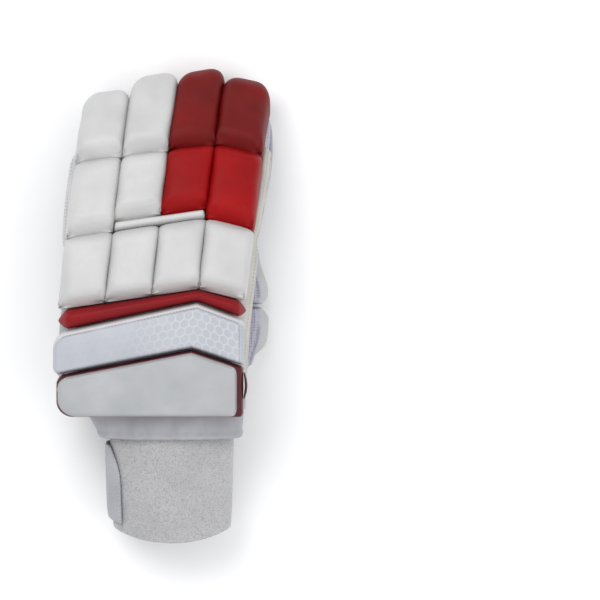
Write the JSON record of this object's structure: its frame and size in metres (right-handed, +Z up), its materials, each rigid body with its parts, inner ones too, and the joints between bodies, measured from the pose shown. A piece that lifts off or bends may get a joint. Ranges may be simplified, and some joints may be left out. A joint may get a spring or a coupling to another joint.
{
  "type": "cricket batting glove",
  "caption": "Left-hand cricket batting glove, palm down: sausage-shaped finger rolls, padded knuckle bar and cuff pads, leather palm, padded thumb and a towelling wristband with a strap.",
  "frame": {"origin": "middle of the bounding box in X and Y, on the surface the glove lies on", "axes": "+Y from the wrist to the fingertips, +X to the thumb side, +Z up from the palm side to the back of the hand"},
  "size_m": [0.1308, 0.2848, 0.0782],
  "materials": {
    "palm_leather": "matt pale blue grey with fine grain",
    "white_leather": "white with a soft sheen",
    "dark_red_leather": "dark red with a soft sheen",
    "bright_red_leather": "bright red with a soft sheen",
    "bar_red_leather": "red with a soft sheen",
    "hex_pad": "bluish white with an embossed hexagon pattern",
    "burgundy_leather": "burgundy with a soft sheen",
    "tan_strip": "tan stitched strip",
    "lavender_mesh": "pale lavender perforated mesh",
    "towelling": "white towelling",
    "strap": "white with a fine diamond emboss"
  },
  "bodies": {
    "root": {"stall_index": "palm_leather", "tip_band_index": "white_leather", "tip_tab_index": "palm_leather", "stall_middle": "palm_leather", "tip_band_middle": "white_leather", "tip_tab_middle": "palm_leather", "stall_ring": "palm_leather", "tip_band_ring": "white_leather", "tip_tab_ring": "palm_leather", "stall_little": "palm_leather", "tip_band_little": "white_leather", "tip_tab_little": "palm_leather", "back_panel": "white_leather", "palm_leather": "palm_leather", "thumb_stall": "palm_leather", "side_strip_index": "tan_strip", "side_strip_little": "white_leather", "cuff_flap": "white_leather", "heel_patch": "palm_leather", "crotch_patch": "palm_leather", "thumb_pad_lower": "white_leather", "thumb_pad_upper": "white_leather", "thumb_mesh": "lavender_mesh", "wristband": "towelling", "wrist_strap": "strap", "knuckle_roll_index": "white_leather", "mid_roll_index": "bright_red_leather", "tip_roll_index": "dark_red_leather", "knuckle_roll_middle": "white_leather", "mid_roll_middle": "bright_red_leather", "tip_roll_middle": "dark_red_leather", "knuckle_roll_ring": "white_leather", "mid_roll_ring": "white_leather", "tip_roll_ring": "white_leather", "knuckle_roll_little": "white_leather", "mid_roll_little": "white_leather", "tip_roll_little": "white_leather", "knuckle_strip": "white_leather", "cross_bar": "bar_red_leather", "cross_pad": "hex_pad", "cuff_pad": "white_leather", "cuff_gusset": "burgundy_leather"}
  },
  "joints": []
}
